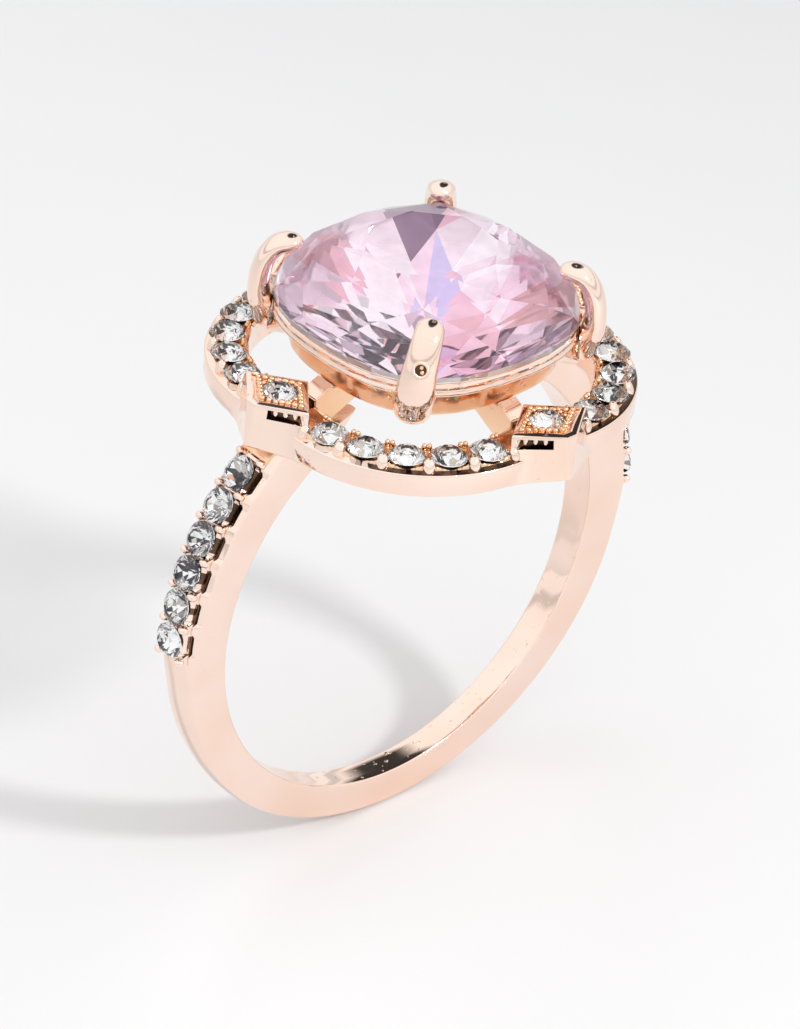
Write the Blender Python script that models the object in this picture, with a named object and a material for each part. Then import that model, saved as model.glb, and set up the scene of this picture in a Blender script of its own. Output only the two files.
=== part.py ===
"""Cocktail ring: a cushion-cut centre stone held by four claws over an open, scalloped halo.

The origin is the centre of the finger hole. +Y runs along the finger and +Z points up at the centre
stone, so the hoop lies in the XZ plane. Claws and halo lobes sit on the diagonals; the square-on-point
panels and the bridges that carry them sit on the X and Y axes. Dimensions are in millimetres, and MM
turns a finished shape into metres.
"""

import math

import bmesh
import bpy
from mathutils import Matrix, Vector

MM = 0.001
GAP = 0.03  # clearance between neighbouring pieces
REACH = 12.0  # further out than any piece, for cutters

# Hoop
BORE_RADIUS = 8.75
HOOP_RADIUS_BOTTOM = 10.08  # outside, at the bottom of the hoop
HOOP_RADIUS_GROWTH = 0.54  # added towards the top
BORE_HALF_WIDTH = (0.58, 0.205, 0.136)  # quadratic in height along the hoop
RIM_HALF_WIDTH = (0.58, 0.62, -0.42)
FLAT_FOOT = 0.02  # lowest share of the hoop, where its sides stay parallel
BORE_ROUND = 0.1
ARRIS_ROUND = 0.04
DOME_RISE = 0.12
SHOULDER_SWELL_RADIUS = 0.15  # the stone-set shoulders stand proud of the plain hoop
SHOULDER_SWELL_WIDTH = 0.12
SHOULDER_BEVEL = 0.2  # slope beside the shoulder stones
SWELL_START = math.radians(187.0)  # where the swelling fades out, from +X towards +Z
SWELL_FULL = math.radians(174.0)
ARM_END = math.radians(109.0)
ARM_TAPER = (2.6, 4.6)  # the arms narrow to a point between these distances from the middle
HOOP_STEPS = 88

# Shoulder stones
SHOULDER_STONES = 6
SHOULDER_FIRST = math.radians(138.4)
SHOULDER_PITCH = math.radians(7.007)
SHOULDER_GIRDLE_RADIUS = 10.88
SHOULDER_STONE_RADIUS = 0.63

# Halo
HALO_BOTTOM = 8.22
LOBE_CENTRE = 2.2  # centre of a lobe's arc, out along its diagonal
LOBE_OUTER = 5.5
LOBE_INNER = 3.95
LOBE_TOP = 9.45
LOBE_LEDGE = 9.1  # top of the plain outer wall
LOBE_LEDGE_WIDTH = 0.24
LOBE_LEDGE_SLOPE = 0.08
LOBE_INNER_BEVEL = (0.1, 0.15)
LOBE_HALF_ANGLE = math.radians(57.0)
LOBE_STEPS = 24
LOBE_STONES = 5
LOBE_STONE_ARC = 4.74
LOBE_STONE_PITCH = math.radians(17.5)
LOBE_GIRDLE = 9.38
PAVE_STONE_RADIUS = 0.65

# Panels, square on point: half outlines as (distance from the Z axis, offset along the tangent)
PANEL_TOP_Z = 9.95
PANEL_TOP = ((7.78, 0.22), (7.28, 0.86), (6.6, 1.72), (5.93, 0.86), (5.25, 0.02))
PANEL_FOOT = ((7.92, 0.04), (7.46, 0.95), (7.02, 1.74), (5.93, 0.86), (5.25, 0.02))
PANEL_STONE_OUT = 6.5
PANEL_GIRDLE = 9.92
PANEL_OVERCUT = 0.3  # how far the lobe cutters reach past a panel, above and below

# Bridges: arms that pass under the gallery wall and slope down to the panels, as (distance, height)
BRIDGE_SIDE = ((3.3, 8.88), (4.5, 8.3), (5.22, 8.3), (5.22, 9.36), (4.44, 9.74), (4.44, 9.62), (3.3, 9.62))
BRIDGE_HALF_WIDTH = 0.42

# Seat under the centre stone
CUSHION_POWER = 2.57  # exponent of the rounded-square outline
SEAT_POINTS = 44
RAIL_SECTION = (  # half-width and height, with a bevelled bearing that follows the pavilion
    (4.45, 10.7), (4.78, 10.68), (4.93, 10.78), (4.99, 10.95), (4.99, 11.13), (4.9, 11.26), (4.45, 10.99),
)
GALLERY_OUTER = 4.42
GALLERY_INNER = 4.02
GALLERY_FOOT = 9.66
GALLERY_TOP = 10.64
SEAT_CLEARANCE = (  # outlines round the rail and the crown that the claws are cut back to
    (5.02, 10.64), (5.04, 11.1), (5.04, 11.56), (4.92, 12.06), (4.42, 12.86), (3.7, 13.38),
)

# Claws: rings up the claw as (distance from the Z axis, height, tangential and radial half-sizes)
CLAW_RINGS = (
    (5.30, 9.72, 0.22, 0.26),
    (5.36, 9.86, 0.46, 0.44),
    (5.45, 10.15, 0.66, 0.58),
    (5.60, 10.55, 0.70, 0.66),
    (5.86, 11.0, 0.70, 0.46),
    (5.92, 11.5, 0.66, 0.40),
    (5.86, 12.1, 0.60, 0.38),
    (5.68, 12.66, 0.56, 0.36),
    (5.36, 13.08, 0.53, 0.35),
    (4.98, 13.24, 0.49, 0.33),
    (4.66, 13.22, 0.38, 0.26),
    (4.50, 13.17, 0.16, 0.12),
)
CLAW_SIDES = 12
FRONT_CLAW_LEAN = 0.33  # this claw is bent sideways over the stone

# Centre stone: half-width, height, facets round the ring and the ring's turn in facet steps
STONE_RINGS = (
    (2.35, 13.72, 8, 0.5),
    (3.62, 13.32, 8, 0.0),
    (4.35, 12.80, 16, 0.5),
    (4.88, 12.02, 16, 0.0),
    (5.00, 11.52, 32, 0.5),
    (4.97, 11.32, 32, 0.5),
    (2.55, 9.85, 8, 0.0),
)
STONE_CULET = 9.0

# Small round stones, in units of the girdle radius
TABLE_SCALE = 0.56
TABLE_HEIGHT = 0.42
MAINS_SCALE = 0.82
MAINS_HEIGHT = 0.23
GIRDLE_HEIGHT = 0.06
CULET_DEPTH = 0.86
POCKET_TIP = 0.12
POCKET_OPENING = 1.2  # height of the pocket's open side above the girdle, in millimetres

DIAGONALS = {"front_left": 225.0, "front_right": 315.0, "back_right": 45.0, "back_left": 135.0}
SIDES = {"left": 180.0, "front": 270.0, "right": 0.0, "back": 90.0}


def make_collection(name):
    collection = bpy.data.collections.new(name)
    bpy.context.scene.collection.children.link(collection)
    return collection


def make_material(name, color, roughness, metallic):
    material = bpy.data.materials.new(name)
    material.use_nodes = True
    shader = material.node_tree.nodes["Principled BSDF"]
    shader.inputs["Base Color"].default_value = (*color, 1.0)
    shader.inputs["Roughness"].default_value = roughness
    shader.inputs["Metallic"].default_value = metallic
    material.diffuse_color = (*color, 1.0)
    return material


def add_object(name, shape, material, collection, place=None):
    """Turn a bmesh drawn in millimetres into a named object in metres."""
    bmesh.ops.scale(shape, vec=(MM, MM, MM), verts=shape.verts)
    bmesh.ops.recalc_face_normals(shape, faces=shape.faces)
    mesh = bpy.data.meshes.new(name)
    shape.to_mesh(mesh)
    shape.free()
    return add_copy(name, mesh, material, collection, place)


def add_copy(name, mesh, material, collection, place=None):
    if material and not mesh.materials:
        mesh.materials.append(material)
    item = bpy.data.objects.new(name, mesh)
    if place:
        item.matrix_world = place
    collection.objects.link(item)
    return item


def cut(item, cutter):
    modifier = item.modifiers.new("cut_" + cutter.name, "BOOLEAN")
    modifier.operation = "DIFFERENCE"
    modifier.solver = "EXACT"
    modifier.object = cutter


def hide_cutter(cutter):
    cutter.hide_render = True
    cutter.display_type = "WIRE"


def turn(degrees):
    return Matrix.Rotation(math.radians(degrees), 4, "Z")


def loft(rings, closed=False):
    """Join rings of equal length with quads, and cap both ends unless the loft closes on itself."""
    shape = bmesh.new()
    loops = [[shape.verts.new(point) for point in ring] for ring in rings]
    pairs = list(zip(loops, loops[1:]))
    if closed:
        pairs.append((loops[-1], loops[0]))
    for low, high in pairs:
        for i in range(len(low)):
            j = (i + 1) % len(low)
            shape.faces.new((low[i], low[j], high[j], high[i]))
    if not closed:
        shape.faces.new(list(reversed(loops[0])))
        shape.faces.new(loops[-1])
    return shape


def hull(points):
    shape = bmesh.new()
    for point in points:
        shape.verts.new(point)
    bmesh.ops.convex_hull(shape, input=shape.verts)
    return shape


def smooth(item, angle=35.0):
    item.data.shade_smooth()
    item.data.set_sharp_from_angle(angle=math.radians(angle))


def cushion_point(half_width, angle, height):
    """A point of the rounded square |x|^p + |y|^p = half_width^p at a polar angle."""
    across, along = abs(math.cos(angle)), abs(math.sin(angle))
    reach = half_width / (across**CUSHION_POWER + along**CUSHION_POWER) ** (1.0 / CUSHION_POWER)
    return Vector((reach * math.cos(angle), reach * math.sin(angle), height))


def hoop_section(angle):
    """The hoop's section at an angle from +X towards +Z, bore edge first, as (radius, y) pairs."""
    height = (1.0 + math.sin(angle)) / 2.0
    around = math.pi - angle if math.cos(angle) > 0 else angle
    around %= 2.0 * math.pi
    swell = min(1.0, max(0.0, (SWELL_START - around) / (SWELL_START - SWELL_FULL)))
    swell = swell * swell * (3.0 - 2.0 * swell)
    outer = HOOP_RADIUS_BOTTOM + HOOP_RADIUS_GROWTH * height + SHOULDER_SWELL_RADIUS * swell
    rise = max(0.0, height - FLAT_FOOT)
    bore = sum(term * rise**power for power, term in enumerate(BORE_HALF_WIDTH))
    rim = sum(term * rise**power for power, term in enumerate(RIM_HALF_WIDTH))
    rim += SHOULDER_SWELL_WIDTH * swell
    taper = (abs(math.cos(angle)) * BORE_RADIUS - ARM_TAPER[0]) / (ARM_TAPER[1] - ARM_TAPER[0])
    if math.sin(angle) > 0:
        bore *= min(1.0, taper)
        rim *= min(1.0, taper)
    arris = ARRIS_ROUND + (SHOULDER_BEVEL - ARRIS_ROUND) * swell
    arris = min(arris, 0.5 * rim)
    half = (
        (BORE_RADIUS, bore - BORE_ROUND),
        (BORE_RADIUS + BORE_ROUND, bore),
        (outer - arris, rim),
        (outer, rim - arris),
    )
    crown = ((outer + DOME_RISE, 0.0),)
    mirrored = tuple((radius, -y) for radius, y in reversed(half))
    return half + crown + mirrored


def box(low, high):
    shape = bmesh.new()
    bmesh.ops.create_cube(shape, size=1.0)
    size = Vector(high) - Vector(low)
    middle = (Vector(high) + Vector(low)) / 2.0
    bmesh.ops.scale(shape, vec=size, verts=shape.verts)
    bmesh.ops.translate(shape, vec=middle, verts=shape.verts)
    return shape


def merge(shapes):
    """Put several separate shapes in one bmesh."""
    whole = bmesh.new()
    for shape in shapes:
        mesh = bpy.data.meshes.new("part")
        shape.to_mesh(mesh)
        shape.free()
        whole.from_mesh(mesh)
        bpy.data.meshes.remove(mesh)
    return whole


def circle(radius, height, count=16, shift=0.0):
    angles = [math.tau * (i + shift) / count for i in range(count)]
    return [(radius * math.cos(angle), radius * math.sin(angle), height) for angle in angles]


def seat_cutter(radius, place):
    """The pocket for a small stone: its girdle and pavilion with the gap round them, open above."""
    wide = radius + GAP
    tip = circle(wide * POCKET_TIP, -radius * CULET_DEPTH - 2.0 * GAP)
    shape = hull(tip + circle(wide, 0.0) + circle(wide, POCKET_OPENING))
    bmesh.ops.transform(shape, matrix=place, verts=shape.verts)
    return shape


def round_stone(radius):
    """A small brilliant with its girdle at z = 0: table, crown mains, girdle band and pavilion."""
    points = circle(radius * TABLE_SCALE, radius * TABLE_HEIGHT, 8, 0.5)
    points += circle(radius * MAINS_SCALE, radius * MAINS_HEIGHT, 8)
    points += circle(radius, radius * GIRDLE_HEIGHT / 2.0)
    points += circle(radius, -radius * GIRDLE_HEIGHT / 2.0)
    points.append((0.0, 0.0, -radius * CULET_DEPTH))
    return hull(points)


def shoulder_place(side, index):
    """The frame of a shoulder stone: its Z axis points out of the hoop."""
    angle = SHOULDER_FIRST + SHOULDER_PITCH * index
    if side == "right":
        angle = math.pi - angle
    centre = Vector((math.cos(angle), 0.0, math.sin(angle))) * SHOULDER_GIRDLE_RADIUS
    return Matrix.Translation(centre) @ Matrix.Rotation(math.pi / 2.0 - angle, 4, "Y")


def lobe_place(diagonal, index):
    angle = (index - (LOBE_STONES - 1) / 2.0) * LOBE_STONE_PITCH
    x = LOBE_CENTRE + LOBE_STONE_ARC * math.cos(angle)
    y = LOBE_STONE_ARC * math.sin(angle)
    return turn(diagonal) @ Matrix.Translation((x, y, LOBE_GIRDLE)) @ Matrix.Rotation(angle, 4, "Z")


def panel_place(side):
    return turn(side) @ Matrix.Translation((PANEL_STONE_OUT, 0.0, PANEL_GIRDLE))


def build_shank(parts, cutters, gold):
    sweep = math.tau + math.pi - 2.0 * ARM_END
    rings = []
    for i in range(HOOP_STEPS + 1):
        angle = ARM_END + sweep * i / HOOP_STEPS
        ring = [(r * math.cos(angle), y, r * math.sin(angle)) for r, y in hoop_section(angle)]
        rings.append(ring)
    shank = add_object("shank", loft(rings), gold, parts)
    above = box((-REACH, -REACH, HALO_BOTTOM - GAP), (REACH, REACH, REACH))
    trim = add_object("arm_trim", above, None, cutters)
    seats = [
        seat_cutter(SHOULDER_STONE_RADIUS, shoulder_place(side, i))
        for side in ("left", "right")
        for i in range(SHOULDER_STONES)
    ]
    pockets = add_object("shoulder_pockets", merge(seats), None, cutters)
    for cutter in (trim, pockets):
        hide_cutter(cutter)
        cut(shank, cutter)


def build_lobes(parts, cutters, gold, panel_cutters):
    section = (
        (LOBE_INNER, HALO_BOTTOM),
        (LOBE_OUTER, HALO_BOTTOM),
        (LOBE_OUTER, LOBE_LEDGE),
        (LOBE_OUTER - LOBE_LEDGE_WIDTH, LOBE_LEDGE + LOBE_LEDGE_SLOPE),
        (LOBE_OUTER - LOBE_LEDGE_WIDTH, LOBE_TOP),
        (LOBE_INNER + LOBE_INNER_BEVEL[0], LOBE_TOP),
        (LOBE_INNER, LOBE_TOP - LOBE_INNER_BEVEL[1]),
    )
    rings = []
    for i in range(LOBE_STEPS + 1):
        angle = LOBE_HALF_ANGLE * (2.0 * i / LOBE_STEPS - 1.0)
        ring = [(LOBE_CENTRE + r * math.cos(angle), r * math.sin(angle), z) for r, z in section]
        rings.append(ring)
    template = add_object("lobe_template", loft(rings), gold, cutters)
    mesh = template.data
    bpy.data.objects.remove(template)
    for name, diagonal in DIAGONALS.items():
        lobe = add_copy("halo_lobe_" + name, mesh, gold, parts, turn(diagonal))
        seats = [seat_cutter(PAVE_STONE_RADIUS, lobe_place(diagonal, i)) for i in range(LOBE_STONES)]
        pockets = add_object("pockets_" + name, merge(seats), None, cutters)
        hide_cutter(pockets)
        cut(lobe, pockets)
        for side, cutter in panel_cutters.items():
            if math.cos(math.radians(SIDES[side] - diagonal)) > 0:  # the two panels beside this lobe
                cut(lobe, cutter)


def panel_outline(half, height, grow=0.0):
    """A closed outline from its half, grown outwards from the panel's middle."""
    middle = PANEL_STONE_OUT
    whole = list(half) + [(r, -t) for r, t in reversed(half[1:-1])]
    ring = []
    for r, t in whole:
        away = Vector((r - middle, t, 0.0))
        scaled = away * (1.0 + grow / away.length)
        ring.append((middle + scaled.x, scaled.y, height))
    return ring


def build_panels(parts, cutters, gold):
    """Four panels with a pocket each; returns the grown copies that the lobes are cut with."""
    grown_cutters = {}
    for name, side in SIDES.items():
        shape = loft([panel_outline(PANEL_FOOT, HALO_BOTTOM), panel_outline(PANEL_TOP, PANEL_TOP_Z)])
        panel = add_object("halo_panel_" + name, shape, gold, parts, turn(side))
        pocket = add_object("panel_pocket_" + name, seat_cutter(PAVE_STONE_RADIUS, panel_place(side)),
                            None, cutters)
        hide_cutter(pocket)
        cut(panel, pocket)
        grown = loft([panel_outline(PANEL_FOOT, HALO_BOTTOM - PANEL_OVERCUT, GAP),
                      panel_outline(PANEL_TOP, PANEL_TOP_Z + PANEL_OVERCUT, GAP * 2.0)])
        grown_cutters[name] = add_object("panel_clearance_" + name, grown, None, cutters, turn(side))
        hide_cutter(grown_cutters[name])
    return grown_cutters


def build_bridges(parts, gold):
    for name, side in SIDES.items():
        rings = [[(r, t, z) for r, z in BRIDGE_SIDE] for t in (-BRIDGE_HALF_WIDTH, BRIDGE_HALF_WIDTH)]
        add_object("bridge_" + name, loft(rings), gold, parts, turn(side))


def seat_ring(section):
    """Sweep a closed section of (half-width, height) points round the cushion outline."""
    angles = [math.tau * i / SEAT_POINTS for i in range(SEAT_POINTS)]
    return loft([[cushion_point(w, angle, z) for w, z in section] for angle in angles], closed=True)


def build_seat(parts, gold):
    rail = add_object("seat_rail", seat_ring(RAIL_SECTION), gold, parts)
    smooth(rail)
    wall = (
        (GALLERY_INNER, GALLERY_FOOT), (GALLERY_OUTER, GALLERY_FOOT),
        (GALLERY_OUTER, GALLERY_TOP), (GALLERY_INNER, GALLERY_TOP),
    )
    gallery = add_object("gallery_wall", seat_ring(wall), gold, parts)
    smooth(gallery)


def build_claws(parts, cutters, gold):
    angles = [math.tau * i / SEAT_POINTS for i in range(SEAT_POINTS)]
    rings = [[cushion_point(w, angle, z) for angle in angles] for w, z in SEAT_CLEARANCE]
    seat = add_object("seat_clearance", loft(rings), None, cutters)
    hide_cutter(seat)
    top = max(height for _, height, _, _ in CLAW_RINGS)
    foot = CLAW_RINGS[0][1]
    for name, diagonal in DIAGONALS.items():
        lean = FRONT_CLAW_LEAN if name == "front_left" else 0.0
        rings = []
        for i, (reach, height, wide, deep) in enumerate(CLAW_RINGS):
            before = Vector(CLAW_RINGS[max(i - 1, 0)][:2])
            after = Vector(CLAW_RINGS[min(i + 1, len(CLAW_RINGS) - 1)][:2])
            along = (after - before).normalized()
            across = Vector((along.y, -along.x))
            shift = lean * ((height - foot) / (top - foot)) ** 2
            ring = []
            for k in range(CLAW_SIDES):
                angle = math.tau * k / CLAW_SIDES
                out = across * deep * math.cos(angle)
                ring.append((reach + out.x, wide * math.sin(angle) + shift, height + out.y))
            rings.append(ring)
        claw = add_object("claw_" + name, loft(rings), gold, parts, turn(diagonal))
        smooth(claw)
        cut(claw, seat)


def build_stones(parts, crystal, pink):
    points = [(0.0, 0.0, STONE_CULET)]
    for half_width, height, count, shift in STONE_RINGS:
        points += [cushion_point(half_width, math.tau * (i + shift) / count, height) for i in range(count)]
    add_object("centre_stone", hull(points), pink, parts)

    pave = add_object("pave_template", round_stone(PAVE_STONE_RADIUS), crystal, parts)
    shoulder = add_object("shoulder_template", round_stone(SHOULDER_STONE_RADIUS), crystal, parts)
    for name, diagonal in DIAGONALS.items():
        for i in range(LOBE_STONES):
            label = "lobe_stone_%s_%d" % (name, i + 1)
            add_copy(label, pave.data, crystal, parts, in_metres(lobe_place(diagonal, i)))
    for name, side in SIDES.items():
        add_copy("panel_stone_" + name, pave.data, crystal, parts, in_metres(panel_place(side)))
    for name in ("left", "right"):
        for i in range(SHOULDER_STONES):
            label = "shoulder_stone_%s_%d" % (name, i + 1)
            add_copy(label, shoulder.data, crystal, parts, in_metres(shoulder_place(name, i)))
    bpy.data.objects.remove(pave)
    bpy.data.objects.remove(shoulder)


def in_metres(place):
    scaled = place.copy()
    scaled.translation *= MM
    return scaled


def main():
    for item in list(bpy.data.objects):
        bpy.data.objects.remove(item)
    parts = make_collection("cocktail_ring")
    cutters = make_collection("cutters")
    gold = make_material("rose_gold_plate", (0.93, 0.66, 0.54), 0.12, 1.0)
    crystal = make_material("clear_crystal", (0.86, 0.86, 0.84), 0.03, 0.0)
    pink = make_material("pink_crystal", (0.90, 0.62, 0.80), 0.03, 0.0)
    build_shank(parts, cutters, gold)
    panel_cutters = build_panels(parts, cutters, gold)
    build_lobes(parts, cutters, gold, panel_cutters)
    build_bridges(parts, gold)
    build_seat(parts, gold)
    build_claws(parts, cutters, gold)
    build_stones(parts, crystal, pink)


main()
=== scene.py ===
"""Looks for the cocktail ring: polished rose-gold plate, a foiled pink cushion stone and foiled clear stones.

Shapes are drawn in millimetres in the CAD frame (origin at the centre of the finger hole, +Y along the
finger, +Z up at the centre stone) and turned into metres as they become objects.
"""

import math
import random

import bmesh
import bpy
from mathutils import Matrix, Vector, noise


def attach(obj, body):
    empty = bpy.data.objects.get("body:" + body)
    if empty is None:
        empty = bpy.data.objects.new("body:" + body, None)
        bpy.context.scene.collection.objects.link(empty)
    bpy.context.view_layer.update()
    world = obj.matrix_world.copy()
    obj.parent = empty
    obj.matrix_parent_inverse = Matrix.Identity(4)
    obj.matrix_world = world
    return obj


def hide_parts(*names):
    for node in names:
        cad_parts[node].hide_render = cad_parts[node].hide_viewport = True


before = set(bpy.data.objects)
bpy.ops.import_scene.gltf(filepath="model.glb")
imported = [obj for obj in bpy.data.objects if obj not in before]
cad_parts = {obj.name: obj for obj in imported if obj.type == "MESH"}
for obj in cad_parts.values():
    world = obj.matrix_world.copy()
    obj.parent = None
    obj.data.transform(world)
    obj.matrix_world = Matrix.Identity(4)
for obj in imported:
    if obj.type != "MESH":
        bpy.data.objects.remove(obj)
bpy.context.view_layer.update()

MM = 0.001
SHARP_ANGLE = 32.0
DIAGONALS = {"front_left": 225.0, "front_right": 315.0, "back_right": 45.0, "back_left": 135.0}
SIDES = {"left": 180.0, "front": 270.0, "right": 0.0, "back": 90.0}

# Places of the materials on a metal piece, and of the foils on a stone (its crystal comes first)
# the third metal place holds near-black gold: painted shade with some tarnish
BRIGHT, ROUGH, PAINTED_SHADE_AND_TARNISH = range(3)
# WHITE, MAUVE, LILAC and SALMON are foils that carry painted reflections
FOIL, BAND, WHITE, MAUVE, LILAC, SALMON = range(1, 7)

# Hoop, as in the CAD
BORE_RADIUS = 8.75
HOOP_RADIUS_BOTTOM = 10.08
HOOP_RADIUS_GROWTH = 0.54
BORE_HALF_WIDTH = (0.58, 0.205, 0.136)
RIM_HALF_WIDTH = (0.58, 0.62, -0.42)
FLAT_FOOT = 0.02
BORE_ROUND = 0.1
BORE_ROUND_STEPS = 4
BORE_FACES = 0.5  # faces this near the bore stay polished
ARRIS = 0.05
DOME_RISE = 0.12
SHOULDER_SWELL_RADIUS = 0.15
SHOULDER_SWELL_WIDTH = 0.12
SHOULDER_BEVEL = 0.2
BEVEL_SUPPORT = (-0.11, -0.06)  # rows on the flat side, measured from the bevel's foot
BEVEL_CORNER = 0.01
BEVEL_TOP = ((-0.035, 0.03), (-0.01, 0.005), (0.0, -0.02))  # (up, out) from the bevel's top edge
SWELL_START = 187.0
SWELL_FULL = 174.0
ARM_END = 109.0
ARM_TAPER = (2.6, 4.6)
MIRROR = 540.0  # an angle and its mirror image on the hoop's other half add up to this
ARM_STEPS = 24
ROW_STEPS = 240
FOOT_STEPS = 150
HALO_BOTTOM = 8.22
GAP = 0.03

# Small stones and the conical seats cut for them
SMALL_STONE_RADIUS = 0.65
SEAT_DROP = 0.1
SEAT_SLOPE = 0.86

# Shoulder stones, in a row on each shoulder
SHOULDER_STONES = 6
SHOULDER_FIRST = 138.4
SHOULDER_PITCH = 7.007
SHOULDER_GIRDLE = 10.88
SHOULDER_WEB = 10.74  # radius of the metal between the stones
SHOULDER_POCKET = 10.3  # radius of a pocket's floor
POCKET_SKIN = 0.05  # metal this far below the hoop's outer radius is painted near-black: painted shade with some tarnish
ROW_MARGIN = 0.6  # of a pitch, past the end stones
ROW_FADE = 0.03  # of a pitch
FINE_MARGIN = 0.3  # of a pitch, drawn finely past the row
SEAT_LIP = 0.03
SCOOP_HALF = 0.33  # of a pitch: the scoops cut beside each stone
SCOOP_SOFT = 0.09
SCOOP_DEPTH = 0.26
SCOOP_ROWS = 4  # how many rows of the crown a scoop lowers
SCOOP_DIP = 0.14  # how far it lowers the bevel's top edge
SCOOP_SPREAD = 0.3  # and widens it, as a share of the dip
CROWN_SHARES = (0.93, 0.9, 0.82, 0.72, 0.6, 0.48, 0.36, 0.24, 0.12, 0.0)  # of the way out to the bevel
PRONG_PLACE = (10.8, 0.54)
PRONG_SIZE = (0.16, 0.2, 0.2)
PRONG_LEAN = 0.6

# Halo lobes
LOBE_CENTRE = 2.2
LOBE_OUTER = 5.5
LOBE_INNER = 3.95
LOBE_LEDGE = 9.08
LOBE_HALF_ANGLE = 57.0
LOBE_STEPS = 176
LOBE_STONES = 5
LOBE_LAST = (LOBE_STONES - 1) / 2.0  # stones are counted from the middle of the lobe
LOBE_STONE_ARC = 4.74
LOBE_STONE_PITCH = 17.5
LOBE_GIRDLE = 9.38
LOBE_POCKET = 8.68
POST_START = 0.30  # of a pitch: the posts that stand between the stones
POST_FULL = 0.42
POST_RISE = 0.04
WEB_TOP = 9.27
WEB_STEPS = 16
RIM_LOW = 9.24
RIM_HIGH = 9.36
LEDGE_WIDTH = 0.25
# A lobe's outer wall and ledge, as (in from the outer radius, height)
LOBE_WALL = (
    (0.09, HALO_BOTTOM), (0.02, HALO_BOTTOM + 0.03), (0.0, HALO_BOTTOM + 0.09), (0.0, LOBE_LEDGE - 0.07),
    (0.012, LOBE_LEDGE - 0.035), (0.04, LOBE_LEDGE - 0.01), (0.06, LOBE_LEDGE - 0.004),
    (0.23, LOBE_LEDGE + 0.044), (LEDGE_WIDTH, LOBE_LEDGE + 0.055),
)
LOBE_RIM = ((0.28, 0.03), (0.31, 0.0))  # as (in from the outer radius, down from the rim's height)
WEB_FROM_OUTER = 0.36
WEB_FROM_INNER = 0.1
PAINTED_SHADE_FROM = LOBE_LEDGE - 0.45  # between the stones, metal is painted near-black from this height: painted shade with some tarnish
ROUGH_FROM = LOBE_LEDGE - 0.1  # and rough cast from this one
LEDGE_SHADE = {"front_left": 1.0, "front_right": -1.0}  # the way along a lobe that the painted dark reflection on its ledge runs
LEDGE_SHADE_FROM = -1.2  # and how far along the lobe it starts
TAB_PLACE = (5.22, 9.27)
TAB_SIZE = (0.17, 0.23, 0.31)
TAB_LEAN = -0.42
INNER_BEAD_PLACE = (4.13, 9.36)
INNER_BEAD_SIZE = (0.11, 0.10, 0.16)
INNER_BEAD_SPREAD = 0.07  # of a pitch

# Panels: half outlines as (distance from the Z axis, offset along the tangent)
PANEL_TOP_Z = 9.95
PANEL_TOP = (
    (7.78, 0.22), (7.53, 0.54), (7.28, 0.86), (7.02, 1.19), (6.81, 1.46), (6.6, 1.72), (6.4, 1.46),
    (5.93, 0.86), (5.25, 0.02),
)
PANEL_FOOT = (
    (7.92, 0.04), (7.69, 0.49), (7.46, 0.93), (7.26, 1.32), (7.12, 1.70), (7.03, 2.06), (6.5, 1.9),
    (5.93, 0.86), (5.25, 0.02),
)
PANEL_FINE = 6  # points to each span of an outline
PANEL_SEAT = ((0.68, PANEL_TOP_Z - 0.08), (0.62, PANEL_TOP_Z - 0.16), (0.35, 9.5), (0.1, 9.25))
PANEL_STONE_OUT = 6.5
PANEL_GIRDLE = 9.92
PANEL_STONE_RADIUS = 0.61
SEAT_BEADS = 18
SEAT_BEAD_ARC = 0.72
SEAT_BEAD_DROP = 0.03
SEAT_BEAD_SIZE = (0.08, 0.11)
SEAT_BEAD_STRETCH = 1.2
GRAIN = 0.115  # radius of a milgrain bead
GRAIN_SPREAD = (0.8, 1.1)
GRAIN_PITCH = 0.235
GRAIN_DROP = 0.02
GRAIN_CORNERS = ((7.28, 0.0), (6.5, 1.18), (5.62, 0.0), (6.5, -1.18))

# The toothed recess under one outer edge of each panel, its faces painted dark as shade
RECESS_LOW = 9.47
RECESS_HIGH = 9.82
RECESS_DEPTH = 0.3
RECESS_SIDE = {"left": 1.0, "front": -1.0, "right": 1.0, "back": -1.0}
RECESS_REACH = 6.55  # only on the outer edges, past this distance from the Z axis
RECESS_FACES_REACH = 6.4
RECESS_START = (0.58, 0.64)
RECESS_END = (1.62, 1.68)
RECESS_FACES = (0.5, 1.75)
RECESS_SKIN = 0.07
EDGE_START = (7.80, 0.22)  # an outer edge of the panel's top, and how fast it nears the Z axis
EDGE_SLOPE = 0.787
TEETH = 4
TOOTH_START = 0.76
TOOTH_PITCH = 0.27
TOOTH_SIZE = (0.1, 0.1, 0.17)
TOOTH_DROP = 0.09
# A panel's outlines from foot to lip, as (height, growth, share of the recess's depth)
PANEL_LEVELS = (
    (HALO_BOTTOM, -0.05, 0.0), (HALO_BOTTOM + 0.05, 0.0, 0.0), (RECESS_LOW, 0.0, 0.0),
    (RECESS_LOW + 0.02, 0.0, 1.0), (RECESS_HIGH - 0.02, 0.0, 1.0), (RECESS_HIGH, 0.0, 0.0),
    (PANEL_TOP_Z - 0.07, 0.0, 0.0), (PANEL_TOP_Z - 0.02, -0.02, 0.0), (PANEL_TOP_Z, -0.06, 0.0),
    (PANEL_TOP_Z, -0.26, 0.0), (PANEL_TOP_Z - 0.08, -0.30, 0.0),
)

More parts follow.
